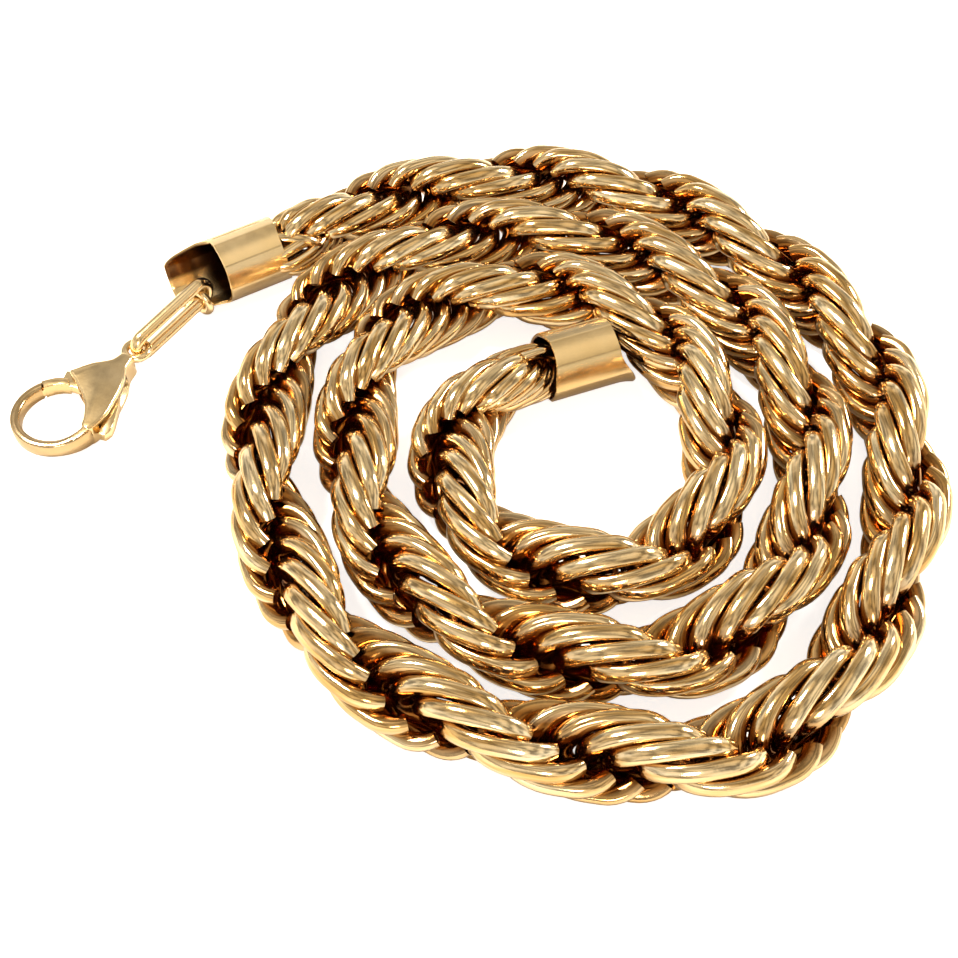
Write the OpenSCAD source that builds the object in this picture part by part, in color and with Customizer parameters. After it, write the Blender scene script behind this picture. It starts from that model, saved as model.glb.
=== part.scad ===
// Hollow rope chain necklace, lying open on a flat surface as a clockwise spiral.
// The chain is a stack of C-shaped links, each turned a little from the last one.
// An end sleeve closes each end; the outer one carries an oval jump ring and a lobster clasp.

/* [Rope chain] */
// Width of a link over its two arms, which is the rope's diameter, mm
link_width = 9.9; // [9.7:0.05:10.2]
// Straight part of each arm, mm
link_straight = 3.8; // [3.4:0.1:4.2]
// Distance from the middle of a link to its two cut ends, mm
link_cut = 5.4; // [5:0.1:5.6]
// Thickness of the link wire, mm
link_wire = 1.35; // [1.1:0.05:1.4]
// Links in each half twist of the rope
links_per_half_twist = 7; // [6.5:0.1:7]
// Roll of the first link, degrees
first_roll = 276; // [250:1:300]
// Room between the chain's first link and the start of its route, mm
first_station = 5.6; // [5.2:0.1:7]
// Room between the last link and the end of its route, mm
last_station = 5.6; // [5.2:0.1:7]

/* [End sleeves] */
// Outside diameter of a sleeve, mm
sleeve_d = 8.5; // [8:0.1:9]
// Thickness of the sleeve's sheet, mm
sheet = 0.4; // [0.35:0.05:0.6]
// Length of a sleeve at its short side, mm
sleeve_length = 8.6; // [7.5:0.1:10]
// How far the outer sleeve's scoop reaches past its short side, mm
outer_scoop = 5.6; // [4:0.1:6.5]
// How far the inner sleeve's scoop reaches past its short side, mm
inner_scoop = 2.0; // [1.5:0.1:3.5]
// How far the sheet flares at the scooped mouth, mm
sleeve_flare = 0.35; // [0:0.05:0.5]
// Width of the seam slit along a sleeve, mm
seam_width = 0.3; // [0.2:0.05:0.6]
// Length of the seam slit, mm
seam_length = 6.6; // [4:0.1:7.5]

/* [Jump ring] */
// Length of the oval ring between the centres of its end bends, mm
ring_span = 9.8; // [9.2:0.1:10.4]
// Radius of the end bends at the wire's centre, mm
ring_bend = 1.45; // [1.4:0.05:1.6]
// Wire diameter of the ring, mm
ring_wire = 1.25; // [1:0.05:1.3]
// Mean radius of the wire loop soldered inside the outer sleeve, mm
loop_radius = 1.45; // [1.35:0.05:1.6]
// Wire diameter of that loop, mm
loop_wire = 1.1; // [0.9:0.05:1.2]

/* [Clasp] */
// Distance from the eye's centre to the far side of the hook, mm
clasp_reach = 18.4; // [17.5:0.1:19.5]
// Thickness of the clasp body, mm
clasp_thickness = 3.2; // [3:0.1:3.8]
// Outside radius of the hook, mm
hook_radius = 5.6; // [5.2:0.1:6]
// Width of the hook's band, seen from above, mm
hook_width = 1.2; // [0.9:0.05:1.5]
// Height of the hook's band, mm
hook_height = 2.0; // [1.6:0.1:2.6]
// Mean radius of the eye, mm
eye_radius = 1.45; // [1.4:0.05:1.6]
// Wire diameter of the eye, mm
eye_wire = 1.0; // [0.8:0.05:1.05]
// Thickness of the lever, mm
lever_thickness = 1.2; // [1:0.05:1.4]
// Room on each side of the lever in its slot, mm
lever_play = 0.15; // [0.1:0.01:0.2]
// Diameter of the lever's pin, mm
pin_d = 1.2; // [1:0.05:1.4]
// Radial room of the lever's bore on its pin, mm
pin_play = 0.06; // [0.04:0.01:0.09]
// Gap between the hook's tip and the lever, mm
tip_gap = 0.12; // [0.08:0.01:0.2]

/* [Hidden] */
$fn = 48;
GOLD = [0.86, 0.66, 0.34];

// Chosen points of the chain's route, outer end first. The chain follows a smooth curve near them.
ROUTE = [
    [-35, 21.5], [-22, 30.5], [-17, 36], [-2.5, 42.5], [12.5, 44], [27, 39.5], [38.5, 29.5], [47, 18],
    [51.5, 3], [50, -14], [44.5, -25.5], [39.5, -33.5], [29.5, -43.5], [11.5, -42.5], [-4.5, -37.5],
    [-14.5, -28], [-19.5, -19], [-24, -3], [-22, 10.5], [-17, 21.5], [-8, 30], [7, 34], [21, 31],
    [33, 21], [40, 8.5], [41, -7.5], [36.5, -20], [26.5, -31.5], [13, -32.5], [-1, -27.5], [-10, -16.5],
    [-12.5, -3.5], [-12.5, 8.5], [-5.5, 20], [9.5, 24], [20, 19.5], [30, 7.5], [31, -10], [22.5, -20.5],
    [9.5, -22], [-1, -13], [-2, 1], [9, 10.6], [26, 10]
];
// Length of a half twist at shares of the route: [share, mm]
TWIST = [[0, 19.5], [0.25, 19.5], [0.5, 19.8], [0.75, 18.1], [1, 17.5]];

// The route as a smooth curve (uniform cubic B-spline), and its length at each step
STEPS = 10;
function spline(a, b, c, d, t) =
    (pow(1 - t, 3) * a + (3 * pow(t, 3) - 6 * t * t + 4) * b
    + (-3 * pow(t, 3) + 3 * t * t + 3 * t + 1) * c + pow(t, 3) * d) / 6;
CURVE = [
    for (i = [0 : len(ROUTE) - 4])
        for (j = [0 : i == len(ROUTE) - 4 ? STEPS : STEPS - 1])
            spline(ROUTE[i], ROUTE[i + 1], ROUTE[i + 2], ROUTE[i + 3], j / STEPS)
];
LENGTHS = [
    for (i = 0, s = 0; i < len(CURVE); s = s + norm(CURVE[min(i + 1, len(CURVE) - 1)] - CURVE[i]), i = i + 1) s
];
route_length = LENGTHS[len(LENGTHS) - 1];
TABLE_X = [for (i = [0 : len(CURVE) - 1]) [LENGTHS[i], CURVE[i].x]];
TABLE_Y = [for (i = [0 : len(CURVE) - 1]) [LENGTHS[i], CURVE[i].y]];
// Brings the middle of the whole outline to the origin
SHIFT = [-0.49, -0.46];
function at(s) = [lookup(s, TABLE_X), lookup(s, TABLE_Y)] + SHIFT;
function heading(s) = let (d = at(s + 0.6) - at(s - 0.6)) atan2(d.y, d.x);
function wrap(a) = a - 360 * round(a / 360);
// How sharply the route turns clockwise, 1/mm
function turn(s) = -wrap(heading(s + 2.5) - heading(s - 2.5)) * PI / 180 / 5;

// The sizes of a link that follow from the ones above
arm = (link_width - link_wire) / 2;
half = link_straight / 2;
cut_angle = asin((link_cut - half) / arm);
axis_height = link_width / 2;
function twist_at(s) = lookup(s / route_length, TWIST);
STATIONS = [
    for (s = first_station; s <= route_length - last_station; s = s + twist_at(s) / links_per_half_twist) s
];
// Where the rope bends, each link leans, turns and shifts a little so that it stays clear
BEND_LEAN = 0.5;
BEND_ROLL = -0.51;
BEND_SHIFT = 2.55;
BEND_SLIDE = 3.12;
BEND_SWAY = -4.17;

module wire_section() {
    circle(d = link_wire, $fn = 24);
}

// One link: an elongated C, closed end towards -X, its two cut ends towards +X
module link() {
    translate([-half, 0, 0]) rotate([0, 0, 90]) rotate_extrude(angle = 180) translate([arm, 0]) wire_section();
    for (side = [0, 1]) {
        mirror([0, side, 0]) {
            translate([-half, -arm, 0]) rotate([90, 0, 90]) linear_extrude(height = 2 * half) wire_section();
            translate([half, 0, 0]) rotate([0, 0, -90])
                rotate_extrude(angle = cut_angle) translate([arm, 0]) wire_section();
        }
    }
}

module placed_link(k) {
    s = STATIONS[k];
    roll = -(first_roll + k * 180 / links_per_half_twist);
    bend = turn(s);
    p = at(s - BEND_SLIDE * bend * sin(2 * roll));
    h = heading(s - BEND_SLIDE * bend * sin(2 * roll)) + 180;
    side = (BEND_SHIFT + BEND_SWAY * cos(2 * roll)) * bend;
    lean = BEND_LEAN * bend * sin(2 * roll) * 180 / PI;
    extra = BEND_ROLL * bend * sin(2 * roll) * 180 / PI;
    translate([p.x - side * sin(h), p.y + side * cos(h), axis_height]) rotate([roll + extra, 0, h + lean]) link();
}

last_link = len(STATIONS) - 1;
half_way = floor(last_link / 2);

module rope_chain_outer_half() {
    color(GOLD) for (k = [0 : half_way]) placed_link(k);
}

module rope_chain_inner_half() {
    color(GOLD) for (k = [half_way + 1 : last_link]) placed_link(k);
}

// ---- end sleeves ----
OUTER_MOUTH = [-24, 30.3] + SHIFT;
OUTER_HEADING = 211;
INNER_MOUTH = [9.8, 9.0] + SHIFT;
INNER_HEADING = 21;
AROUND = 40;
ALONG = 8;
FLATS = 8;
function ease(t) = let (u = max(0, min(1, t))) u * u * (3 - 2 * u);
// Soft flats around the sheet: 1 at their edges, a little less between
function flat_share(a) = let (b = (a + 3600) % (360 / FLATS) - 180 / FLATS)
    1 - 0.45 * (1 - cos(180 / FLATS) / cos(b));
// Where the rim lies past the short side: nothing within the open side, all of the scoop opposite
function rim(a, open_at, open_half, scoop) = scoop * ease((abs(wrap(a - open_at)) - open_half) / 75);
function sleeve_point(i, a, open_at, open_half, scoop, inset) =
    let (
        end = sleeve_length + rim(a, open_at, open_half, scoop),
        dip = 0.7 * pow(max(0, cos(a - open_at)), 2),
        x = dip + (end - dip) * i / ALONG,
        flare = sleeve_flare * pow(max(0, (x - sleeve_length) / max(scoop, 1)), 2),
        r = sleeve_d / 2 * flat_share(a) + flare - inset
    )
    [x, r * cos(a), r * sin(a)];

module sleeve(open_at, open_half, scoop, seam_at) {
    n = AROUND;
    m = n * (ALONG + 1);
    pts = [
        for (inset = [0, sheet])
            for (i = [0 : ALONG])
                for (j = [0 : n - 1])
                    sleeve_point(i, 360 * j / n, open_at, open_half, scoop, inset)
    ];
    skin = [
        for (i = [0 : ALONG - 1])
            for (j = [0 : n - 1])
                [i * n + j, (i + 1) * n + j, (i + 1) * n + (j + 1) % n, i * n + (j + 1) % n]
    ];
    lining = [for (f = skin) [f[3] + m, f[2] + m, f[1] + m, f[0] + m]];
    last = ALONG * n;
    rims = [
        for (j = [0 : n - 1])
            for (f = [
                [j, (j + 1) % n, (j + 1) % n + m, j + m],
                [last + j, last + j + m, last + (j + 1) % n + m, last + (j + 1) % n]
            ]) f
    ];
    quads = concat(skin, lining, rims);
    tris = [for (q = quads) for (t = [[q[0], q[1], q[2]], [q[0], q[2], q[3]]]) t];
    difference() {
        polyhedron(points = pts, faces = tris, convexity = 6);
        rotate([seam_at, 0, 0]) translate([1.4, sleeve_d / 2 - 2 * sheet, -seam_width / 2])
            cube([seam_length, 4 * sheet, seam_width]);
    }
}

// ---- jump ring, and the loop in the outer sleeve that holds it ----
RING_START = [-32.9, 24.4] + SHIFT;
RING_HEADING = 231.8;
ring_tilt = 7;
ring_start_height = 3.65;
function ring_along(t) = [
    RING_START.x + t * cos(RING_HEADING) * cos(ring_tilt),
    RING_START.y + t * sin(RING_HEADING) * cos(ring_tilt),
    ring_start_height - t * sin(ring_tilt)
];
ring_room = 0.16;
ring_grip = ring_bend - ring_wire / 2 - loop_wire / 2 - ring_room;

module sleeve_loop() {
    c = ring_along(ring_bend - ring_grip);
    translate([c.x, c.y, c.z - loop_radius]) rotate([0, 0, RING_HEADING]) rotate([0, 90, 0])
        rotate_extrude() translate([loop_radius, 0]) circle(d = loop_wire, $fn = 24);
}

module outer_end_sleeve() {
    color(GOLD) {
        translate([OUTER_MOUTH.x, OUTER_MOUTH.y, axis_height]) rotate([0, 0, OUTER_HEADING])
            sleeve(37, 72, outer_scoop, 117);
        sleeve_loop();
    }
}

module inner_end_sleeve() {
    color(GOLD) translate([INNER_MOUTH.x, INNER_MOUTH.y, axis_height]) rotate([0, 0, INNER_HEADING])
        sleeve(95, 45, inner_scoop, 57);
}

module jump_ring() {
    color(GOLD) translate(ring_along(0)) rotate([0, ring_tilt, RING_HEADING]) rotate([90, 0, 0]) {
        translate([ring_bend, 0, 0]) rotate([0, 0, 90]) rotate_extrude(angle = 180)
            translate([ring_bend, 0]) circle(d = ring_wire, $fn = 24);
        translate([ring_bend + ring_span, 0, 0]) rotate([0, 0, -90]) rotate_extrude(angle = 180)
            translate([ring_bend, 0]) circle(d = ring_wire, $fn = 24);
        for (y = [-ring_bend, ring_bend])
            translate([ring_bend, y, 0]) rotate([0, 90, 0]) cylinder(h = ring_span, d = ring_wire, $fn = 24);
    }
}

// ---- clasp ----
CLASP_HEADING = 244;
eye_end = ring_along(2 * ring_bend + ring_span);
eye_height = ring_along(ring_bend + ring_span).z - 0.05;
mid = clasp_thickness / 2;
PIVOT = [0.36, -0.05] * clasp_reach;
tip_v = 0.16 * clasp_reach;
hook_c = [clasp_reach - hook_radius, tip_v - hook_radius];
hook_mean = hook_radius - hook_width / 2;
HOOK_START = -121;
slot = lever_thickness + 2 * lever_play;
// The body's outline as shares of the clasp's reach
BODY_OUTLINE = [
    [0.09, -0.04], [0.17, -0.075], [0.25, -0.17], [0.34, -0.24], [0.385, -0.26], [0.44, -0.18], [0.55, -0.03],
    [0.65, 0.045], [0.74, 0.09], [0.745, 0.15], [0.63, 0.175], [0.51, 0.165], [0.32, 0.12], [0.19, 0.06], [0.09, 0.04]
];
// The direction in which the lever's end leaves the hook's tip
tip = hook_c + hook_mean * [cos(HOOK_START), sin(HOOK_START)];
tip_turn = atan2(tip.x - PIVOT.x, -(tip.y - PIVOT.y));
// The block that parts the lever from the tip is wider than the band
tip_block = 5 * hook_width;
// Angle that the hook turns through, far enough to run into the body
HOOK_TURN = 218;

module at_clasp() {
    translate([eye_end.x, eye_end.y, 0]) rotate([0, 0, CLASP_HEADING]) children();
}

// A block beside the line in which the lever's end leaves the hook's tip
module beside_tip(from, high) {
    translate([tip.x, tip.y, 0]) rotate([0, 0, tip_turn]) translate([-tip_block / 2, from, 0])
        cube([tip_block, tip_block, high]);
}

module clasp_body() {
    color(GOLD) at_clasp() {
        translate([0, 0, eye_height]) rotate_extrude() translate([eye_radius, 0]) circle(d = eye_wire, $fn = 24);
        difference() {
            linear_extrude(height = clasp_thickness) polygon(BODY_OUTLINE * clasp_reach);
            translate([0, 0, mid - slot / 2]) linear_extrude(height = slot) slot_outline();
        }
        translate([PIVOT.x, PIVOT.y, mid - slot / 2 - 0.2]) cylinder(h = slot + 0.4, d = pin_d);
        difference() {
            translate([hook_c.x, hook_c.y, mid - hook_height / 2]) rotate([0, 0, HOOK_START - 12])
                rotate_extrude(angle = HOOK_TURN + 12) translate([hook_mean - hook_width / 2, 0])
                    square([hook_width, hook_height]);
            translate([0, 0, mid - hook_height / 2 - 1]) beside_tip(-tip_gap / 2, hook_height + 2);
        }
    }
}

// The room in which the lever turns
module slot_outline() {
    polygon([
        [0.235, -0.4], [0.235, 0.3], [0.66, 0.3], [0.66, 0.15], [0.62, 0.09], [0.52, -0.02], [0.5, -0.4]
    ] * clasp_reach);
}

function on_ring(r, a) = hook_c + r * [cos(a), sin(a)];
// The lever: the thumb tab and the hub as shares of the clasp's reach, then the arm beside the ring
LEVER = concat(
    [[0.36, -0.315], [0.29, -0.16], [0.27, -0.02], [0.31, 0.07], [0.44, 0.165], [0.6, 0.235], [0.665, 0.255],
    [0.715, 0.24], [0.72, 0.2], [0.69, 0.185], [0.6, 0.15], [0.5, 0.06], [0.44, -0.03]] * clasp_reach,
    [for (a = [-165 : 10 : HOOK_START + 10]) on_ring(hook_radius - hook_width, a)],
    [on_ring(hook_radius, HOOK_START + 10)],
    [for (a = [HOOK_START : -10 : -150]) on_ring(hook_radius, a)]
);

module clasp_lever() {
    color(GOLD) at_clasp() translate([0, 0, mid - lever_thickness / 2]) difference() {
        linear_extrude(height = lever_thickness) polygon(LEVER);
        translate([0, 0, -1]) beside_tip(tip_gap / 2 - tip_block, lever_thickness + 2);
        translate([PIVOT.x, PIVOT.y, -1]) cylinder(h = lever_thickness + 2, d = pin_d + 2 * pin_play);
    }
}

rope_chain_outer_half();
rope_chain_inner_half();
outer_end_sleeve();
inner_end_sleeve();
jump_ring();
clasp_body();
clasp_lever();
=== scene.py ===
"""Looks of the rope chain necklace: links, sleeves, jump ring, clasp, gold finishes and a white studio."""
import logging
import math
import random
from dataclasses import dataclass
from enum import Enum

import bmesh
import bpy
import numpy as np
from mathutils import Matrix, Vector


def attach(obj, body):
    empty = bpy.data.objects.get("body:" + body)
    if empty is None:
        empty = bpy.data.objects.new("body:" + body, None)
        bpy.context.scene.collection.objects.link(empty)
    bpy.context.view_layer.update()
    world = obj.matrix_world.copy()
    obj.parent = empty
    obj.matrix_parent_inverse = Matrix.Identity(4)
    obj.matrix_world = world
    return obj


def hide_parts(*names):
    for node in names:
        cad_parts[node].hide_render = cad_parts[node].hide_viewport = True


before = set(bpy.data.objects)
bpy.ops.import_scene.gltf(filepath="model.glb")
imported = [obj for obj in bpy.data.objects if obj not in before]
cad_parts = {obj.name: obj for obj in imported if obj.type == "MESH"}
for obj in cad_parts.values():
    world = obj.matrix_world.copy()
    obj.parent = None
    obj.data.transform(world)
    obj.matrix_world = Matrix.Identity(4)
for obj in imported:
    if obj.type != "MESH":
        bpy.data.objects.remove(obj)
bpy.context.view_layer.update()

LOG = logging.getLogger("necklace")
MM = 0.001
Faces = list[tuple[int, ...]]
Table = tuple[tuple[float, float], ...]

# Values kept with each point: how much painted shade darkens it, and its place in the painted reflection streaks
PAINTED_SHADE = "painted_shade"
FLOW = "flow"
# From the chosen points to the middle of the whole outline, mm
SHIFT = np.array([-0.49, -0.46])
# Height of the rope's middle line over the table, mm
AXIS_HEIGHT = 4.95
# Chosen points of the chain's route in mm, outer end first, as in the CAD source
ROUTE = [
    (-35, 21.5), (-22, 30.5), (-17, 36), (-2.5, 42.5), (12.5, 44), (27, 39.5), (38.5, 29.5), (47, 18),
    (51.5, 3), (50, -14), (44.5, -25.5), (39.5, -33.5), (29.5, -43.5), (11.5, -42.5), (-4.5, -37.5),
    (-14.5, -28), (-19.5, -19), (-24, -3), (-22, 10.5), (-17, 21.5), (-8, 30), (7, 34), (21, 31),
    (33, 21), (40, 8.5), (41, -7.5), (36.5, -20), (26.5, -31.5), (13, -32.5), (-1, -27.5), (-10, -16.5),
    (-12.5, -3.5), (-12.5, 8.5), (-5.5, 20), (9.5, 24), (20, 19.5), (30, 7.5), (31, -10), (22.5, -20.5),
    (9.5, -22), (-1, -13), (-2, 1), (9, 10.6), (26, 10),
]


class Body(Enum):
    """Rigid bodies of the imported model."""

    NECKLACE = "necklace"
    LEVER = "lever"


def ease(t: float) -> float:
    """Smooth step from 0 to 1."""
    u = max(0.0, min(1.0, t))
    return u * u * (3 - 2 * u)


def wrap(a: float) -> float:
    """Brings an angle in degrees to -180 .. 180."""
    return a - 360 * round(a / 360)


# --------------------------------------------------------------------------- shader nodes


def feed(
    tree: bpy.types.NodeTree, socket: bpy.types.NodeSocket, term: "bpy.types.NodeSocket | float | tuple"
) -> None:
    """Links a node's input, or gives it a fixed value.

    Args:
        tree: Node tree that both are in.
        socket: The input.
        term: An output to link to it, or its value.
    """
    if isinstance(term, bpy.types.NodeSocket):
        tree.links.new(term, socket)
    else:
        socket.default_value = term


def math_node(
    tree: bpy.types.NodeTree, operation: str, *terms: "bpy.types.NodeSocket | float", clamp: bool = False
) -> bpy.types.NodeSocket:
    """Adds a Math node.

    Args:
        tree: Node tree that gets it.
        operation: Its operation.
        terms: Outputs to link or fixed values, in the order of its inputs.
        clamp: Whether the result stays within 0 and 1.

    Returns:
        Its output.
    """
    node = tree.nodes.new("ShaderNodeMath")
    node.operation, node.use_clamp = operation, clamp
    for socket, term in zip(node.inputs, terms):
        feed(tree, socket, term)
    return node.outputs[0]


def mix_node(
    tree: bpy.types.NodeTree,
    factor: "bpy.types.NodeSocket | float",
    first: bpy.types.NodeSocket,
    second: "bpy.types.NodeSocket | tuple",
    blend: str = "MIX",
) -> bpy.types.NodeSocket:
    """Adds a node that mixes two colours.

    Args:
        tree: Node tree that gets it.
        factor: Share of the second colour.
        first: First colour.
        second: Second colour.
        blend: Way of mixing.

    Returns:
        Its output.
    """
    node = tree.nodes.new("ShaderNodeMix")
    node.data_type, node.blend_type = "RGBA", blend
    for name, term in (("Factor", factor), ("A", first), ("B", second)):
        feed(tree, node.inputs[name], term)
    return node.outputs["Result"]


def range_node(
    tree: bpy.types.NodeTree, value: bpy.types.NodeSocket, source: tuple, target: tuple = (0.0, 1.0)
) -> bpy.types.NodeSocket:
    """Adds a node that stretches a range of values over another one.

    Args:
        tree: Node tree that gets it.
        value: Value to stretch.
        source: Ends of the range that it comes in.
        target: Ends of the range that it goes to.

    Returns:
        Its output.
    """
    node = tree.nodes.new("ShaderNodeMapRange")
    node.inputs["From Min"].default_value, node.inputs["From Max"].default_value = source
    node.inputs["To Min"].default_value, node.inputs["To Max"].default_value = target
    tree.links.new(value, node.inputs["Value"])
    return node.outputs["Result"]


# --------------------------------------------------------------------------- finishes


class EffectGroups:
    """Shader node groups that several finishes share. Each is built once."""

    NAME = "polished metal"
    SOCKETS = (
        ("Light Tone", "INPUT", "NodeSocketColor"),
        ("Deep Tone", "INPUT", "NodeSocketColor"),
        ("Painted Shade Tone", "INPUT", "NodeSocketColor"),
        ("Scale", "INPUT", "NodeSocketFloat"),
        ("Roughness", "INPUT", "NodeSocketFloat"),
        ("Spread", "INPUT", "NodeSocketFloat"),
        ("Colour", "OUTPUT", "NodeSocketColor"),
        ("Roughness", "OUTPUT", "NodeSocketFloat"),
        ("Height", "OUTPUT", "NodeSocketFloat"),
    )
    # Scale of the fine pattern over that of the broad one, and its detail
    FINE_SCALE = 9.0
    FINE_DETAIL = 4
    # Part of the broad pattern's values that runs from one tone of the painted reflection streaks to the other
    TONE_RANGE = (0.36, 0.64)
    # Middle value of the fine pattern
    MIDDLE = 0.5

    @classmethod
    def polish(cls) -> bpy.types.NodeTree:
        """Builds or returns the group that paints a polished metal's reflection streaks and shade, and varies its
        roughness.

        Returns:
            The node group, with a Colour and a Roughness output and a Height for bump.
        """
        found = bpy.data.node_groups.get(cls.NAME)
        if found:
            return found
        g = bpy.data.node_groups.new(cls.NAME, "ShaderNodeTree")
        for name, way, kind in cls.SOCKETS:
            g.interface.new_socket(name, in_out=way, socket_type=kind)
        n, link = g.nodes, g.links.new
        given = n.new("NodeGroupInput").outputs
        out = n.new("NodeGroupOutput").inputs
        place, flow = n.new("ShaderNodeNewGeometry"), n.new("ShaderNodeAttribute")
        flow.attribute_name = FLOW
        broad, fine = n.new("ShaderNodeTexNoise"), n.new("ShaderNodeTexNoise")
        fine.inputs["Detail"].default_value = cls.FINE_DETAIL
        link(flow.outputs["Vector"], broad.inputs["Vector"])
        link(place.outputs["Position"], fine.inputs["Vector"])
        link(given["Scale"], broad.inputs["Scale"])
        link(math_node(g, "MULTIPLY", given["Scale"], cls.FINE_SCALE), fine.inputs["Scale"])
        # The broad pattern paints lighter and deeper reflection streaks
        sharper = range_node(g, broad.outputs["Fac"], cls.TONE_RANGE)
        tone = mix_node(g, sharper, given["Light Tone"], given["Deep Tone"])
        # Painted shade: each point's painted shade value darkens the colour towards the painted shade tone
        painted_shade = n.new("ShaderNodeAttribute")
        painted_shade.attribute_name = PAINTED_SHADE
        lit = math_node(g, "SUBTRACT", 1.0, painted_shade.outputs["Fac"], clamp=True)
        link(mix_node(g, lit, given["Painted Shade Tone"], tone), out["Colour"])
        centred = math_node(g, "SUBTRACT", fine.outputs["Fac"], cls.MIDDLE)
        varied = math_node(g, "MULTIPLY", centred, given["Spread"])
        link(math_node(g, "ADD", varied, given["Roughness"]), out["Roughness"])
        link(math_node(g, "ADD", fine.outputs["Fac"], broad.outputs["Fac"]), out["Height"])
        return g


@dataclass(frozen=True)
class GoldFinish:
    """A polished or satin gold.

    Args:
        name: Material name.
        light: Lighter colour of the painted reflection streaks.
        deep: Deeper colour of the painted reflection streaks.
        shade_tone: Colour that the painted shade darkens towards.
        roughness: Middle roughness.
        spread: How much the roughness varies.
        scale: Scale of the broad tone change, per metre.
        bump: Strength of the fine surface bump.
        bump_depth: Depth of that bump, mm.
    """

    name: str
    light: tuple[float, float, float]
    deep: tuple[float, float, float]
    shade_tone: tuple[float, float, float]
    roughness: float = 0.14
    spread: float = 0.08
    scale: float = 120.0
    bump: float = 0.35
    bump_depth: float = 0.05

    def material(self) -> bpy.types.Material:
        """Builds the material, once.

        Returns:
            The material.
        """
        found = bpy.data.materials.get(self.name)
        if found:
            return found
        m = bpy.data.materials.new(self.name)
        m.use_nodes = True
        tree = m.node_tree
        shader = tree.nodes["Principled BSDF"]
        shader.inputs["Metallic"].default_value = 1.0
        effect = tree.nodes.new("ShaderNodeGroup")
        effect.node_tree = EffectGroups.polish()
        for name, value in (
            ("Light Tone", (*self.light, 1)),
            ("Deep Tone", (*self.deep, 1)),
            ("Painted Shade Tone", (*self.shade_tone, 1)),
            ("Scale", self.scale),
            ("Roughness", self.roughness),
            ("Spread", self.spread),
        ):
            effect.inputs[name].default_value = value
        bump = tree.nodes.new("ShaderNodeBump")
        bump.inputs["Strength"].default_value = self.bump
        bump.inputs["Distance"].default_value = self.bump_depth * MM
        tree.links.new(effect.outputs["Colour"], shader.inputs["Base Color"])
        tree.links.new(effect.outputs["Roughness"], shader.inputs["Roughness"])
        tree.links.new(effect.outputs["Height"], bump.inputs["Height"])
        tree.links.new(bump.outputs["Normal"], shader.inputs["Normal"])
        return m


# Each gold: the lighter and the deeper colour of its painted reflection streaks, then its painted shade tone
LINK_GOLD = GoldFinish("link gold", (1.0, 0.80, 0.48), (0.68, 0.42, 0.15), (0.30, 0.12, 0.025))
SLEEVE_GOLD = GoldFinish(
    "sleeve gold", (0.92, 0.70, 0.38), (0.85, 0.61, 0.28), (0.10, 0.035, 0.010),
    roughness=0.24, spread=0.12, scale=90.0, bump=0.3,
)
CLASP_GOLD = GoldFinish(
    "clasp gold", (0.96, 0.75, 0.44), (0.88, 0.65, 0.33), (0.16, 0.06, 0.015),
    roughness=0.2, spread=0.08, scale=120.0, bump=0.3,
)


# --------------------------------------------------------------------------- mesh helpers


def mesh_object(
    name: str,
    verts_mm: np.ndarray,
    faces: Faces,
    finish: GoldFinish,
    crease: float = 32.0,
    painted_shade: np.ndarray | None = None,
    flow: np.ndarray | None = None,
) -> bpy.types.Object:
    """Makes an object from points in mm, smooth but for edges sharper than the crease angle.

    Args:
        name: Object name.
        verts_mm: Points in mm, one a row.
        faces: Lists of point numbers.
        finish: Finish of the object.
        crease: Angle in degrees past which an edge is sharp.
        painted_shade: For each point, how much painted shade darkens it, from 0 to 1.
        flow: For each point, its place in the painted reflection streaks, mm. By default its own place.

    Returns:
        The object, linked to the scene.
    """
    mesh = bpy.data.meshes.new(name)
    mesh.from_pydata((np.asarray(verts_mm) * MM).tolist(), [], [list(map(int, f)) for f in faces])
    if painted_shade is None:
        painted_shade = np.zeros(len(verts_mm))
    if flow is None:
        flow = verts_mm
    # Each point keeps its painted shade and its place in the painted reflection streaks
    values = mesh.attributes.new(PAINTED_SHADE, "FLOAT", "POINT")
    values.data.foreach_set("value", np.asarray(painted_shade, dtype=np.float32))
    streaks = mesh.attributes.new(FLOW, "FLOAT_VECTOR", "POINT")
    streaks.data.foreach_set("vector", (np.asarray(flow) * MM).astype(np.float32).ravel())
    bm = bmesh.new()
    bm.from_mesh(mesh)
    bmesh.ops.recalc_face_normals(bm, faces=bm.faces)
    for f in bm.faces:
        f.smooth = True
    bm.to_mesh(mesh)
    bm.free()
    mesh.set_sharp_from_angle(angle=math.radians(crease))
    obj = bpy.data.objects.new(name, mesh)
    bpy.context.collection.objects.link(obj)
    obj.data.materials.append(finish.material())
    return obj


def cut_away(obj: bpy.types.Object, cutter: bpy.types.Object) -> None:
    """Cuts one object's volume out of another and removes it.

    Args:
        obj: Object to cut.
        cutter: Closed object that fills what goes.
    """
    mod = obj.modifiers.new(cutter.name, "BOOLEAN")
    mod.operation, mod.object, mod.solver = "DIFFERENCE", cutter, "EXACT"
    bpy.context.view_layer.update()
    dg = bpy.context.evaluated_depsgraph_get()
    mesh = bpy.data.meshes.new_from_object(obj.evaluated_get(dg))
    obj.modifiers.clear()
    obj.data = mesh
    bpy.data.objects.remove(cutter)


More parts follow.
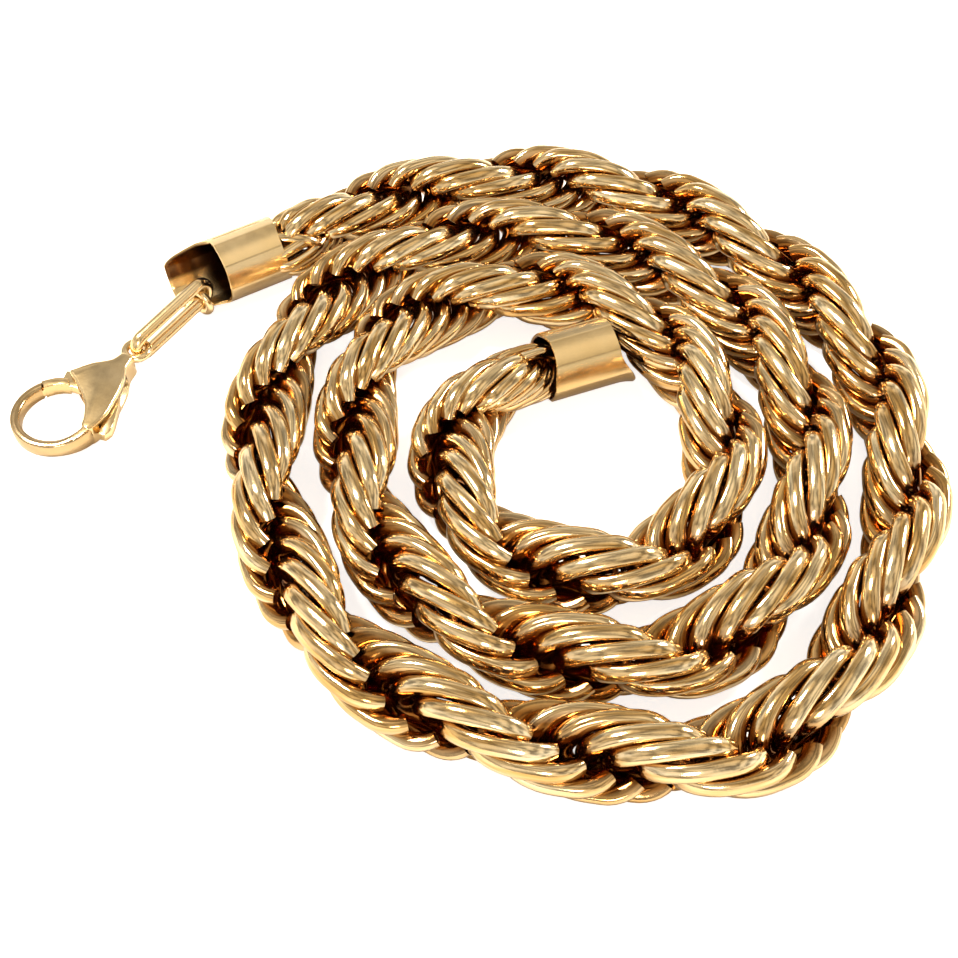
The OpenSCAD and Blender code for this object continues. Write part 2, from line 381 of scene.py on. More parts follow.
def paint_lower_side_shade(strength: float = 0.55, start: float = 0.25, run: float = 0.9) -> None:
    """Paints shade on the faces that look down at the table, a painted reflection of the shadow there.

    Args:
        strength: Largest value, from 0 to 1, for a face that looks straight down.
        start: Upward part of a normal below which the tone starts.
        run: Change of that part over which it grows.
    """
    bpy.context.view_layer.update()
    for obj in [o for o in bpy.context.scene.objects if o.type == "MESH" and PAINTED_SHADE in o.data.attributes]:
        count = len(obj.data.vertices)
        painted_shade = obj.data.attributes[PAINTED_SHADE].data
        normals, values = np.zeros(count * 3), np.zeros(count, dtype=np.float32)
        obj.data.vertices.foreach_get("normal", normals)
        painted_shade.foreach_get("value", values)
        up = normals.reshape(-1, 3) @ np.array(obj.matrix_world.to_3x3())[2]
        low = strength * np.array([ease((start - z) / run) for z in up])
        painted_shade.foreach_set("value", np.maximum(values, low).astype(np.float32))


def tube_faces(rings: int, sides: int, closed: bool = False, caps: bool = True) -> Faces:
    """Joins rings of points into a tube.

    Args:
        rings: Number of rings.
        sides: Points in a ring.
        closed: Whether the last ring joins the first.
        caps: Whether the two ends are closed.

    Returns:
        Lists of point numbers.
    """
    faces = []
    for i in range(rings if closed else rings - 1):
        a, b = i * sides, ((i + 1) % rings) * sides
        for j in range(sides):
            k = (j + 1) % sides
            faces.append((a + j, a + k, b + k, b + j))
    if caps and not closed:
        faces.append(tuple(range(sides)))
        faces.append(tuple(reversed(range((rings - 1) * sides, rings * sides))))
    return faces


def wire_circle(radius: float, wire: float, steps: int, sides: int) -> np.ndarray:
    """Builds the points of a circle of round wire that lies flat.

    Args:
        radius: Radius of the wire's middle line, mm.
        wire: Radius of the wire, mm.
        steps: Rings of points round the circle.
        sides: Points in a ring.

    Returns:
        Points in mm, ring by ring.
    """
    rows = []
    for i in range(steps):
        a = 2 * math.pi * i / steps
        for j in range(sides):
            b = 2 * math.pi * j / sides
            r = radius + wire * math.cos(b)
            rows.append((r * math.cos(a), r * math.sin(a), wire * math.sin(b)))
    return np.array(rows)


def counter_clockwise(outline: np.ndarray) -> np.ndarray:
    """Puts a closed outline's points in counter-clockwise order.

    Args:
        outline: The points, one a row.

    Returns:
        The points, in the same or in the opposite order.
    """
    x, y = outline.T
    area = np.sum(x * np.roll(y, -1) - y * np.roll(x, -1))
    return outline if area > 0 else outline[::-1]


# --------------------------------------------------------------------------- the rope


class Route:
    """The chain's route: a smooth curve near the chosen points, with its length."""

    STEPS = 10
    # Half the lengths over which its direction and its bend are taken, mm
    NEAR = 0.6
    FAR = 2.5

    def __init__(self, points: list[tuple[float, float]]) -> None:
        """Samples the curve.

        Args:
            points: The chosen points in mm.
        """
        p = np.array(points, float)
        rows = []
        for i in range(len(p) - 3):
            a, b, c, d = p[i : i + 4]
            last = i == len(p) - 4
            for j in range(self.STEPS + (1 if last else 0)):
                t = j / self.STEPS
                rows.append(
                    ((1 - t) ** 3 * a + (3 * t**3 - 6 * t * t + 4) * b
                     + (-3 * t**3 + 3 * t * t + 3 * t + 1) * c + t**3 * d) / 6
                )
        self.curve = np.array(rows)
        self.lengths = np.r_[0, np.cumsum(np.hypot(*np.diff(self.curve, axis=0).T))]
        self.total = float(self.lengths[-1])

    def at(self, s: float) -> np.ndarray:
        """Returns the point at length s, in mm.

        Args:
            s: Length along the route, mm.

        Returns:
            Its x and y.
        """
        x = np.interp(s, self.lengths, self.curve[:, 0])
        y = np.interp(s, self.lengths, self.curve[:, 1])
        return np.array([x, y]) + SHIFT

    def heading(self, s: float) -> float:
        """Returns the direction at length s, in radians."""
        d = self.at(s + self.NEAR) - self.at(s - self.NEAR)
        return math.atan2(d[1], d[0])

    def bend(self, s: float) -> float:
        """Returns how sharply the route turns clockwise at length s, in 1/mm."""
        d = self.heading(s + self.FAR) - self.heading(s - self.FAR)
        return -(d - 2 * math.pi * round(d / (2 * math.pi))) / (2 * self.FAR)


@dataclass(frozen=True)
class Wire:
    """The wire's section round a link, and how it deepens at the closed end.

    Args:
        outline: Points of the section: outwards from its middle, and across.
        start: Distance from the link's middle where it starts to deepen, mm.
        run: Length over which it deepens, mm.
        inner_depth: Factor on the depth of the inner side.
        end_depth: What the closed end adds to that factor.
        end_inner_width: What the closed end adds to the inner side's width.
        end_outer_width: What it adds to the outer side's width.
        fullness: Factor on the wire's width.
    """

    outline: Table = (
        (0.70, 0.0), (0.675, 0.28), (0.60, 0.52), (0.47, 0.72), (0.29, 0.87), (0.06, 0.93), (-0.20, 0.90),
        (-0.50, 0.80), (-0.78, 0.62), (-0.95, 0.36), (-1.0, 0.0), (-0.95, -0.36), (-0.78, -0.62), (-0.50, -0.80),
        (-0.20, -0.90), (0.06, -0.93), (0.29, -0.87), (0.47, -0.72), (0.60, -0.52), (0.675, -0.28),
    )
    start: float = 3.2
    run: float = 2.4
    inner_depth: float = 1.3
    end_depth: float = 0.6
    end_inner_width: float = 0.22
    end_outer_width: float = 0.12
    fullness: float = 1.06

    def section(self, x: float) -> list[tuple[float, float]]:
        """Returns the section where the wire's middle is at x.

        Args:
            x: Place along the link, mm, with the closed end towards less.

        Returns:
            Points in mm: outwards, and across.
        """
        # The closed end is deeper, and leaves little light between the links
        end = ease((-x - self.start) / self.run)
        rows = []
        for r, w in self.outline:
            if r < 0:
                r, w = r * (self.inner_depth + self.end_depth * end), w * (1 + self.end_inner_width * end)
            else:
                w = w * (1 + self.end_outer_width * end)
            rows.append((r, w * self.fullness))
        return rows


@dataclass
class LinkShell:
    """A link's mesh.

    Args:
        verts: Points in mm, one a row.
        faces: Lists of point numbers.
        painted_shade: For each point, how much painted shade darkens it, more so deeper in the rope and on the wire's
            inner side, from 0 to 1.
        flow: For each point, its place in the painted reflection streaks, mm.
    """

    verts: np.ndarray
    faces: Faces
    painted_shade: np.ndarray
    flow: np.ndarray

    # Hollow of a cut end: its depth in mm, its rim's and its floor's size against the wire, and the painted shade on
    # each
    STEP = 0.55
    RIM = 0.78
    FLOOR = 0.72
    RIM_SHADE = 0.35
    FLOOR_SHADE = 1.0

    def sink_end(self, start: int, inwards: int, n: int) -> None:
        """Adds a short step back inside the rim of a cut end, with painted shade on its rim and floor.

        Args:
            start: Number of the end ring's first point.
            inwards: 1 where the next ring of points is the one inwards, -1 where the ring before is.
            n: Points in a ring.
        """
        rim = self.verts[start : start + n]
        mid = rim.mean(axis=0)
        following = start + inwards * n
        back = self.verts[following : following + n].mean(axis=0) - mid
        back *= self.STEP / np.linalg.norm(back)
        edge, floor = mid + (rim - mid) * self.RIM, mid + (rim - mid) * self.FLOOR + back
        b = len(self.verts)
        self.verts = np.vstack([self.verts, edge, floor])
        self.painted_shade = np.r_[self.painted_shade, np.full(n, self.RIM_SHADE), np.full(n, self.FLOOR_SHADE)]
        self.flow = np.vstack([self.flow, self.flow[:n], self.flow[:n]])
        for j in range(n):
            k = (j + 1) % n
            self.faces.append((start + j, start + k, b + k, b + j))
            self.faces.append((b + j, b + k, b + n + k, b + n + j))
        self.faces.append(tuple(range(b + n, b + 2 * n)))


@dataclass(frozen=True)
class BendFit:
    """How a link gives way where the route bends, each a factor on the bend in 1/mm.

    Args:
        advance: Shift along the route.
        side: Shift to the inside of the bend.
        side_swing: How much that shift changes as the links roll round the rope.
        lean: Turn flat on the table, radians.
        roll: Turn about the route, radians.
    """

    advance: float = 3.12
    side: float = 2.55
    side_swing: float = 4.17
    lean: float = 0.5
    roll: float = -0.51


@dataclass(frozen=True)
class Irregularity:
    """The small seeded difference of each link from the next.

    Args:
        seed: Seed of the draws.
        lean: Largest turn flat on the table, degrees.
        roll: Largest turn about the route, degrees.
        slide: Largest shift along the route, mm.
    """

    seed: int = 11
    lean: float = 0.9
    roll: float = 1.6
    slide: float = 0.07


@dataclass
class RopeChain:
    """The chain of C-shaped links.

    Args:
        arm: Distance of a link's arms from the axis, mm.
        half: Half the straight length of an arm, mm.
        cut: Distance from a link's middle to its cut ends, mm.
        oval: How far past the middle the closed end's long curve starts, mm.
        lean: Turn of a link along its length, degrees for each mm.
        wire: The wire's section.
        per_half_twist: Links in each half twist.
        first_roll: Roll of the first link, degrees.
        margin: Room at each end of the route, mm.
        twist: Length of a half twist at shares of the route, mm.
        fit: How the links give way in a bend.
        play: Their small irregularity.
        squeezed: Width of the links that are squeezed into a sleeve's mouth at each end, nearest first.
        squeezed_length: Their length against a full link's.
        squeezed_step: Distance from one of them to the next, mm.
    """

    arm: float = 4.275
    half: float = 1.9
    cut: float = 5.4
    oval: float = 0.3
    lean: float = 1.4
    wire: Wire = Wire()
    per_half_twist: int = 7
    first_roll: float = 276.0
    margin: float = 5.6
    twist: Table = ((0, 19.5), (0.25, 19.5), (0.5, 19.8), (0.75, 18.1), (1, 17.5))
    fit: BendFit = BendFit()
    play: Irregularity = Irregularity()
    squeezed: tuple[float, ...] = (0.94, 0.88, 0.82, 0.77, 0.73, 0.70)
    squeezed_length: float = 0.8
    squeezed_step: float = 1.1

    # Steps of a link's short curves at the cut ends, and of the long one at its closed end
    SHORT_STEPS = 7
    LONG_STEPS = 25
    # Painted shade deep in the rope: where it starts and over what distance, in mm, and its strength
    DEPTH_START, DEPTH_RUN, DEPTH_SHADE = 3.9, 2.3, 0.85
    # Painted shade on the wire's inner side, in the same way
    INNER_START, INNER_RUN, INNER_SHADE = 0.42, 1.0, 0.72
    # Painted reflection streaks change quickly across the wire and slowly along it, and differ from link to link
    FLOW_ACROSS, FLOW_ALONG, FLOW_NEXT = 10.0, 0.8, 37.0
    # Least height over the table, mm
    CLEAR = 0.004
    # Angle past which an edge is sharp, degrees
    CREASE = 28

    def short_curve(self, first: float, last: float) -> list[tuple[float, float, float, float]]:
        """Returns the curve that leads to a cut end.

        Args:
            first: Angle at its start, radians.
            last: Angle at its end, radians.

        Returns:
            For each step, the point's x and y in mm and the outward direction's x and y.
        """
        return [
            (self.half + self.arm * math.cos(a), self.arm * math.sin(a), math.cos(a), math.sin(a))
            for a in np.linspace(first, last, self.SHORT_STEPS)
        ]

    def middle_line(self) -> np.ndarray:
        """Returns a link's middle line, from one cut end round the closed end to the other.

        Returns:
            For each step, the point's x and y in mm and the outward direction's x and y, in a row.
        """
        turn = math.asin((self.cut - self.half) / self.arm)
        reach = self.arm + self.half + self.oval
        path = self.short_curve(-math.pi / 2 + turn, -math.pi / 2)
        for a in np.linspace(-math.pi / 2, -math.pi * 1.5, self.LONG_STEPS):
            nx, ny = self.arm * math.cos(a), reach * math.sin(a)
            size = math.hypot(nx, ny)
            path.append((self.oval + reach * math.cos(a), self.arm * math.sin(a), nx / size, ny / size))
        path += self.short_curve(math.pi / 2, math.pi / 2 - turn)
        return np.array(path)

    def link_shell(self) -> LinkShell:
        """Builds one link: closed end towards -X, cut ends towards +X, ring normal along Z.

        Returns:
            Its mesh.
        """
        path = self.middle_line()
        rows = []
        for px, py, nx, ny in path:
            for r, w in self.wire.section(px):
                x, y = px + r * nx, py + r * ny
                lean = math.radians(-self.lean * x)
                rows.append((x, y * math.cos(lean) - w * math.sin(lean), y * math.sin(lean) + w * math.cos(lean)))
        outline, n = self.wire.outline, len(self.wire.outline)
        verts = np.array(rows)
        # Painted shade, darker deeper in the rope and on the wire's inner side
        deep = np.hypot(verts[:, 1], verts[:, 2])
        painted_shade = np.array([self.DEPTH_SHADE * ease((self.DEPTH_START - d) / self.DEPTH_RUN) for d in deep])
        inner = np.tile([ease((self.INNER_START - r) / self.INNER_RUN) for r, _ in outline], len(path))
        across = np.tile([self.FLOW_ACROSS * w for _, w in outline], len(path))
        steps = np.hypot(*np.diff(path[:, :2], axis=0).T)
        along = np.repeat(np.r_[0, np.cumsum(steps)] * self.FLOW_ALONG, n)
        shell = LinkShell(
            verts,
            tube_faces(len(path), n, caps=False),
            np.clip(painted_shade + self.INNER_SHADE * inner, 0, 1),
            np.c_[across, along, np.zeros(len(across))],
        )
        shell.sink_end(0, 1, n)
        shell.sink_end((len(path) - 1) * n, -1, n)
        return shell

    def twist_at(self, share: float) -> float:
        """Returns the length of a half twist at a share of the route, mm."""
        t = np.array(self.twist)
        return float(np.interp(share, t[:, 0], t[:, 1]))

    def stations(self, route: Route) -> list[float]:
        """Places the links along the route.

        Args:
            route: The chain's route.

        Returns:
            The length along the route of each link's middle, mm.
        """
        out, s = [], self.margin
        while s <= route.total - self.margin:
            out.append(s)
            s += self.twist_at(s / route.total) / self.per_half_twist
        return out

    def placement(self, route: Route, s: float, k: int, rng: random.Random) -> tuple[np.ndarray, np.ndarray]:
        """Works out where link k goes.

        Args:
            route: The chain's route.
            s: Length along it of the link's middle.
            k: Number of the link.
            rng: Seeded source of the small irregularity.

        Returns:
            Its rotation matrix, and its place in mm.
        """
        fit, play = self.fit, self.play
        roll = -math.radians(self.first_roll + k * 180 / self.per_half_twist)
        bend = route.bend(s)
        s2 = s - fit.advance * bend * math.sin(2 * roll)
        p, h = route.at(s2), route.heading(s2) + math.pi
        side = (fit.side - fit.side_swing * math.cos(2 * roll)) * bend
        lean = fit.lean * bend * math.sin(2 * roll) + math.radians(rng.uniform(-play.lean, play.lean))
        roll += fit.roll * bend * math.sin(2 * roll) + math.radians(rng.uniform(-play.roll, play.roll))
        slide = rng.uniform(-play.slide, play.slide)
        place = np.array([
            p[0] - side * math.sin(h) + slide * math.cos(h),
            p[1] + side * math.cos(h) + slide * math.sin(h),
            AXIS_HEIGHT,
        ])
        turn = Matrix.Rotation(h + lean, 3, "Z") @ Matrix.Rotation(roll, 3, "X")
        return np.array(turn), place

    def link_points(
        self, shell: LinkShell, route: Route, stations: list[float], k: int, rng: random.Random
    ) -> np.ndarray:
        """Places link k. Those past the stations are squeezed into the sleeve's mouth.

        Args:
            shell: Mesh of a link.
            route: The chain's route.
            stations: Length along it of each full link's middle.
            k: Number of the link, below 0 or past the stations for a squeezed one.
            rng: Seeded source of the small irregularity.

        Returns:
            Its points in mm.
        """
        last = len(stations) - 1
        past = max(-k, k - last, 0)
        s = stations[min(max(k, 0), last)] + (1 if k > 0 else -1) * self.squeezed_step * past
        turn, place = self.placement(route, s, k, rng)
        length, width = (self.squeezed_length, self.squeezed[past - 1]) if past else (1.0, 1.0)
        points = (shell.verts * (length, width, width)) @ turn.T + place
        points[:, 2] = np.maximum(points[:, 2], self.CLEAR)
        return points

    def build(self) -> list[bpy.types.Object]:
        """Builds both halves of the chain in place of the CAD nodes.

        Returns:
            The outer and the inner half.
        """
        route = Route(ROUTE)
        stations = self.stations(route)
        half_way, extra = (len(stations) - 1) // 2, len(self.squeezed)
        shell = self.link_shell()
        rng = random.Random(self.play.seed)
        made = []
        for name, node, numbers in (
            ("rope_outer_half", "rope_chain_outer_half", range(-extra, half_way + 1)),
            ("rope_inner_half", "rope_chain_inner_half", range(half_way + 1, len(stations) + extra)),
        ):
            verts, faces = [], []
            for k in numbers:
                base = len(verts) * len(shell.verts)
                verts.append(self.link_points(shell, route, stations, k, rng))
                faces += [tuple(base + i for i in f) for f in shell.faces]
            painted_shade = np.tile(shell.painted_shade, len(verts))
            flow = np.vstack([shell.flow + (0, 0, self.FLOW_NEXT * i) for i in range(len(verts))])
            obj = mesh_object(name, np.vstack(verts), faces, LINK_GOLD, self.CREASE, painted_shade, flow)
            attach(obj, Body.NECKLACE.value)
            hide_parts(node)
            made.append(obj)
        return made


# --------------------------------------------------------------------------- sleeves


@dataclass
class Sleeve:
    """A rolled sheet sleeve with a scooped far mouth. Angles are in degrees and run from its left side upwards.

    Args:
        name: Object name.
        node: CAD node that it stands for.
        mouth: Middle of the mouth at the chain, mm.
        heading: Direction away from the chain.
        open_at: Angle of the short side.
        open_half: Half the angle of the short side.
        scoop: How far the long side reaches past the short one, mm.
        seam_at: Angle of the seam.
        seam_gap: Width of the seam's slit, mm.
        seam_ends: Where the slit starts and ends along the sleeve, mm.
        radius: Outer radius, mm.
        sheet: Thickness of the sheet, mm.
        length: Length of the short side, mm.
        flare: How far the long side's edge opens outwards, mm.
    """

    name: str
    node: str
    mouth: tuple[float, float]
    heading: float
    open_at: float
    open_half: float
    scoop: float
    seam_at: float
    seam_gap: float = 0.3
    seam_ends: tuple[float, float] = (1.4, 8.0)
    radius: float = 4.25
    sheet: float = 0.4
    length: float = 8.6
    flare: float = 0.35

    # Points round the sleeve, and steps along it
    AROUND, ALONG = 128, 34
    # Angle over which the scoop's edge climbs, and how far the mouth at the chain is cut back, mm
    CLIMB, CUT_BACK = 75, 0.7
    # Angle of one of the eight slight flats, and how flat they are, from 0 to 1
    FACET, FLATNESS = 45, 0.45
    # How far the rounded rims stand out, and how far in from the sheet's faces they start, mm
    RIM, RIM_INSET = 0.05, 0.06
    # Painted shade inside: where it ends past the short side and over what distance, mm
    SHADE_END, SHADE_RUN = 1.0, 1.4
    # Painted shade under the long side: its angle, half its width, its edge's width, and its strength
    ROOF_AT, ROOF_HALF, ROOF_EDGE, ROOF_SHADE = 152, 62, 12, 0.95
    # Share of the sheet's thickness past which a point is inside the sleeve
    INSIDE = 0.8
    # Angle past which an edge is sharp
    CREASE = 50
    # Steps of the slit's round ends, and how far its cutter reaches in and out of the sheet, mm
    SLIT_STEPS, SLIT_REACH = 7, 0.8

    def point(self, share: float, a: float, inset: float) -> tuple[float, float, float]:
        """Returns a point of the sheet.

        Args:
            share: Place along the sleeve, from 0 at the chain to 1 at the far rim.
            a: Angle around it.
            inset: How far in from the outer face it is, mm.

        Returns:
            The point in mm, with the sleeve along X.
        """
        end = self.length + self.scoop * ease((abs(wrap(a - self.open_at)) - self.open_half) / self.CLIMB)
        dip = self.CUT_BACK * max(0.0, math.cos(math.radians(a - self.open_at))) ** 2
        x = dip + (end - dip) * share
        flare = self.flare * max(0.0, (x - self.length) / max(self.scoop, 1)) ** 2
        off = math.radians(a % self.FACET - self.FACET / 2)
        flat = 1 - self.FLATNESS * (1 - math.cos(math.radians(self.FACET / 2)) / math.cos(off))
        r = self.radius * flat + flare - inset
        return x, r * math.cos(math.radians(a)), r * math.sin(math.radians(a))

    def shade(self, x: float, a: float, inset: float) -> float:
        """Returns how much painted shade darkens the inside at a point.

        Args:
            x: Place along the sleeve, mm.
            a: Angle around it.
            inset: How far in from the outer face it is, mm.

        Returns:
            A value from 0 to 1.
        """
        if inset <= self.sheet * self.INSIDE:
            return 0.0
        depth = ease((self.length + self.SHADE_END - x) / self.SHADE_RUN)
        roof = ease((self.ROOF_HALF - abs(wrap(a - self.ROOF_AT))) / self.ROOF_EDGE) * self.ROOF_SHADE
        return max(depth, roof)

    def build(self) -> bpy.types.Object:
        """Builds the sleeve in place of its CAD node.

        Returns:
            The sleeve.
        """
        shares = [i / self.ALONG for i in range(self.ALONG + 1)]
        over, rim_inset = self.RIM / self.length, (self.RIM_INSET, self.sheet - self.RIM_INSET)
        rings = [(t, 0.0) for t in shares]
        rings += [(1 + over, inset) for inset in rim_inset]
        rings += [(t, self.sheet) for t in reversed(shares)]
        rings += [(-over, inset) for inset in reversed(rim_inset)]
        rows, painted_shade = [], []
        for t, inset in rings:
            for j in range(self.AROUND):
                a = 360 * j / self.AROUND
                rows.append(self.point(t, a, inset))
                painted_shade.append(self.shade(rows[-1][0], a, inset))
        faces = tube_faces(len(rings), self.AROUND, closed=True)
        obj = mesh_object(self.name, np.array(rows), faces, SLEEVE_GOLD, self.CREASE, np.array(painted_shade))
        cut_away(obj, self.seam_cutter())
        place = Matrix.Translation(
            Vector(((self.mouth[0] + SHIFT[0]) * MM, (self.mouth[1] + SHIFT[1]) * MM, AXIS_HEIGHT * MM))
        )
        obj.data.transform(place @ Matrix.Rotation(math.radians(self.heading), 4, "Z"))
        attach(obj, Body.NECKLACE.value)
        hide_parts(self.node)
        return obj

    def seam_cutter(self) -> bpy.types.Object:
        """Makes a thin block with round ends that cuts the seam.

        Returns:
            The block.
        """
        w, (x0, x1) = self.seam_gap / 2, self.seam_ends
        turns = np.linspace(0, math.pi, self.SLIT_STEPS)
        outline = [(x0 + w - w * math.sin(t), w * math.cos(t)) for t in turns]
        outline += [(x1 - w + w * math.sin(t), -w * math.cos(t)) for t in turns]
        levels = (self.radius - self.SLIT_REACH, self.radius + self.SLIT_REACH)
        rows = [(x, r, z) for r in levels for x, z in outline]
        obj = mesh_object("seam", np.array(rows), tube_faces(2, len(outline)), SLEEVE_GOLD)
        obj.data.transform(Matrix.Rotation(math.radians(self.seam_at), 4, "X"))
        return obj


# --------------------------------------------------------------------------- ring and clasp


@dataclass
class JumpRing:
    """The oval ring, and the loop in the outer sleeve that holds it.

    Args:
        start: Outside of the ring's end in the sleeve, mm.
        heading: Direction of the ring away from the sleeve, degrees.
        tilt: Its slope down to the clasp, degrees.
        bend: Radius of the middle line's round ends, mm.
        span: Length of its straight sides, mm.
        wire: Half the wire's width in the ring's plane, mm.
        wire_across: Half its width across that plane, mm.
        solid_wire: Radius of the ring's wire in the solids, mm.
        gap: Room between the ring and the loop in the solids, mm.
        loop_radius: Radius of the loop's middle line, mm.
        loop_wire: Radius of the loop's wire, mm.
    """

    start: tuple[float, float, float] = (-33.39, 23.94, 3.65)
    heading: float = 231.8
    tilt: float = 7.0
    bend: float = 1.45
    span: float = 9.8
    wire: float = 0.70
    wire_across: float = 0.85
    solid_wire: float = 0.625
    gap: float = 0.16
    loop_radius: float = 1.45
    loop_wire: float = 0.55

    # Steps of each round end, points round the ring's wire, steps of the loop, and points round its wire
    END_STEPS, SIDES, LOOP_STEPS, LOOP_SIDES = 25, 20, 40, 16

    def along(self, t: float) -> np.ndarray:
        """Returns the point at length t from the ring's start, mm."""
        h, e = math.radians(self.heading), math.radians(self.tilt)
        return np.array(self.start) + t * np.array(
            [math.cos(h) * math.cos(e), math.sin(h) * math.cos(e), -math.sin(e)]
        )

    def oval(self) -> np.ndarray:
        """Draws the middle line of the oval in its own plane.

        Returns:
            Its points in mm, one a row.
        """
        rows = []
        for middle, turn in ((self.bend, math.pi), (self.bend + self.span, 0.0)):
            for a in np.linspace(turn - math.pi / 2, turn + math.pi / 2, self.END_STEPS):
                rows.append((middle + self.bend * math.cos(a), self.bend * math.sin(a)))
        return np.array(rows)

    def oval_points(self) -> np.ndarray:
        """Builds the ring's points.

        Returns:
            Points in mm, ring by ring round its wire.
        """
        path, rows = self.oval(), []
        for i, (px, pz) in enumerate(path):
            d = path[(i + 1) % len(path)] - path[i - 1]
            d /= np.linalg.norm(d)
            for j in range(self.SIDES):
                a = 2 * math.pi * j / self.SIDES
                out = self.wire * math.cos(a)
                rows.append((px + out * d[1], self.wire_across * math.sin(a), pz - out * d[0]))
        return np.array(rows)

    def build(self) -> list[bpy.types.Object]:
        """Builds the ring in place of its CAD node, and the loop.

        Returns:
            The ring and the loop.
        """
        heading = Matrix.Rotation(math.radians(self.heading), 4, "Z")
        faces = tube_faces(2 * self.END_STEPS, self.SIDES, closed=True)
        ring = mesh_object("oval_jump_ring", self.oval_points(), faces, CLASP_GOLD)
        turn = heading @ Matrix.Rotation(math.radians(self.tilt), 4, "Y")
        ring.data.transform(Matrix.Translation(Vector(self.along(0) * MM)) @ turn)
        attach(ring, Body.NECKLACE.value)
        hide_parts("jump_ring")
        x, y, z = self.along(self.solid_wire + self.loop_wire + self.gap)
        points = wire_circle(self.loop_radius, self.loop_wire, self.LOOP_STEPS, self.LOOP_SIDES)
        faces = tube_faces(self.LOOP_STEPS, self.LOOP_SIDES, closed=True)
        loop = mesh_object("sleeve_loop", points[:, [2, 0, 1]], faces, CLASP_GOLD)
        place = Matrix.Translation(Vector((x, y, z - self.loop_radius)) * MM)
        loop.data.transform(place @ heading)
        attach(loop, Body.NECKLACE.value)
        return [ring, loop]


@dataclass
class Clasp:
    """The lobster clasp: eye, body, hook and lever, in its own frame along its reach.

    Args:
        heading: Direction from the eye to the hook, degrees.
        reach: Length from the eye's middle to the hook's far side, mm.
        rise: Height of the hook's upper side over the line of the reach, as a share of the reach.
        thickness: Thickness of the body, mm.
        hook_radius: Outer radius of the hook, mm.
        hook_width: Width of its band, mm.
        hook_height: Height of its band at the tip, mm.
        hook_growth: How much the band grows up and down towards its root, mm.
        hook_start: Angle of the hook's tip, where the gate meets it, degrees.
        hook_sweep: Angle from there to the hook's root, degrees.
        eye_radius: Radius of the eye's middle line, mm.
        eye_wire: Radius of the eye's wire, mm.
        lever_thickness: Thickness of the lever, mm.
        slot_room: How much wider the body's slot is, mm.
        body: Outline of the body, in shares of the reach.
        slot: Outline of the slot's cutter, in shares of the reach.
        lever: Outline of the lever and its tab up to the gate, in shares of the reach.
    """

    heading: float = 244.0
    reach: float = 18.4
    rise: float = 0.16
    thickness: float = 3.2
    hook_radius: float = 5.6
    hook_width: float = 1.2
    hook_height: float = 2.0
    hook_growth: float = 0.45
    hook_start: float = -121.0
    hook_sweep: float = 206.0
    eye_radius: float = 1.45
    eye_wire: float = 0.5
    lever_thickness: float = 1.2
    slot_room: float = 0.3
    body: Table = (
        (0.09, -0.04), (0.17, -0.075), (0.25, -0.17), (0.34, -0.24), (0.385, -0.26), (0.44, -0.18),
        (0.55, -0.03), (0.65, 0.045), (0.74, 0.09), (0.745, 0.15), (0.63, 0.175), (0.51, 0.165),
        (0.32, 0.12), (0.19, 0.06), (0.09, 0.04),
    )
    slot: Table = (
        (0.235, -0.4), (0.5, -0.4), (0.52, -0.02), (0.62, 0.09), (0.66, 0.15), (0.66, 0.3), (0.235, 0.3),
    )
    lever: Table = (
        (0.36, -0.315), (0.29, -0.16), (0.27, -0.02), (0.31, 0.07), (0.44, 0.165), (0.6, 0.235),
        (0.665, 0.255), (0.715, 0.24), (0.72, 0.2), (0.69, 0.185), (0.6, 0.15), (0.5, 0.06), (0.44, -0.03),
    )

    # The body's underside over the table and the radius of its edges, mm
    BODY_LOW, BODY_EDGE = 0.02, 0.38
    # Steps of the hook and points round its band, which is between an oval, 1, and a block, 0
    HOOK_STEPS, HOOK_SIDES, HOOK_CORNER = 72, 16, 0.42
    # The hook's tip: how far its middle reaches over its start and how far it slants, degrees
    TIP_OVER, TIP_SLANT = 1.2, 3.3
    # Where the band starts to grow and over what angle, degrees
    GROW_START, GROW_RUN = 30, 60
    # Painted shade over the whole hook, from 0 to 1
    HOOK_SHADE = 0.42
    # Angles past which an edge is sharp, on the hook and on the body and the lever, degrees
    HOOK_CREASE, CREASE = 40, 35
    # Steps of the eye and points round its wire, and how far it hangs below the ring's line, mm
    EYE_STEPS, EYE_SIDES, EYE_DROP = 48, 16, 0.05
    # Radius of the lever's edges and its steps, and the gate's reach below and above the middle, mm
    LEVER_EDGE, LEVER_STEPS, GATE_LOW, GATE_HIGH = 0.12, 3, 0.85, 1.0
    # From the hook's start to the inner corners, the lever's past it and the gate's short of it, and to the
    # outer corners, short of it, degrees
    INNER_CORNER, OUTER_CORNER = 2, 3.5
    # Angles about the hook's middle along the inner and outer edges of the lever and of the gate, degrees
    LEVER_INNER, LEVER_OUTER = (-165, -155, -145, -135, -125), (-130, -140, -150)
    GATE_INNER, GATE_OUTER = (-163, -150, -138, -126), (-133, -142)
    # The gate's back: how far it is in from the hook's outer radius, mm, and its angle, degrees
    GATE_BACK = ((0.05, -150), (0.2, -158))

    @property
    def hook_middle(self) -> np.ndarray:
        """Middle of the hook, in mm."""
        return np.array([self.reach - self.hook_radius, self.rise * self.reach - self.hook_radius])

    def round_hook(self, radius: float, angles: tuple[float, ...]) -> list[np.ndarray]:
        """Returns points on an arc about the hook's middle.

        Args:
            radius: Radius of the arc, mm.
            angles: Angle of each point, degrees.

        Returns:
            The points in mm.
        """
        turns = [math.radians(a) for a in angles]
        return [self.hook_middle + radius * np.array([math.cos(t), math.sin(t)]) for t in turns]

    def placement(self, ring: JumpRing) -> Matrix:
        """Returns the clasp's place at the far end of the ring."""
        x, y, _ = ring.along(2 * ring.bend + ring.span) * MM
        return Matrix.Translation(Vector((x, y, 0))) @ Matrix.Rotation(math.radians(self.heading), 4, "Z")

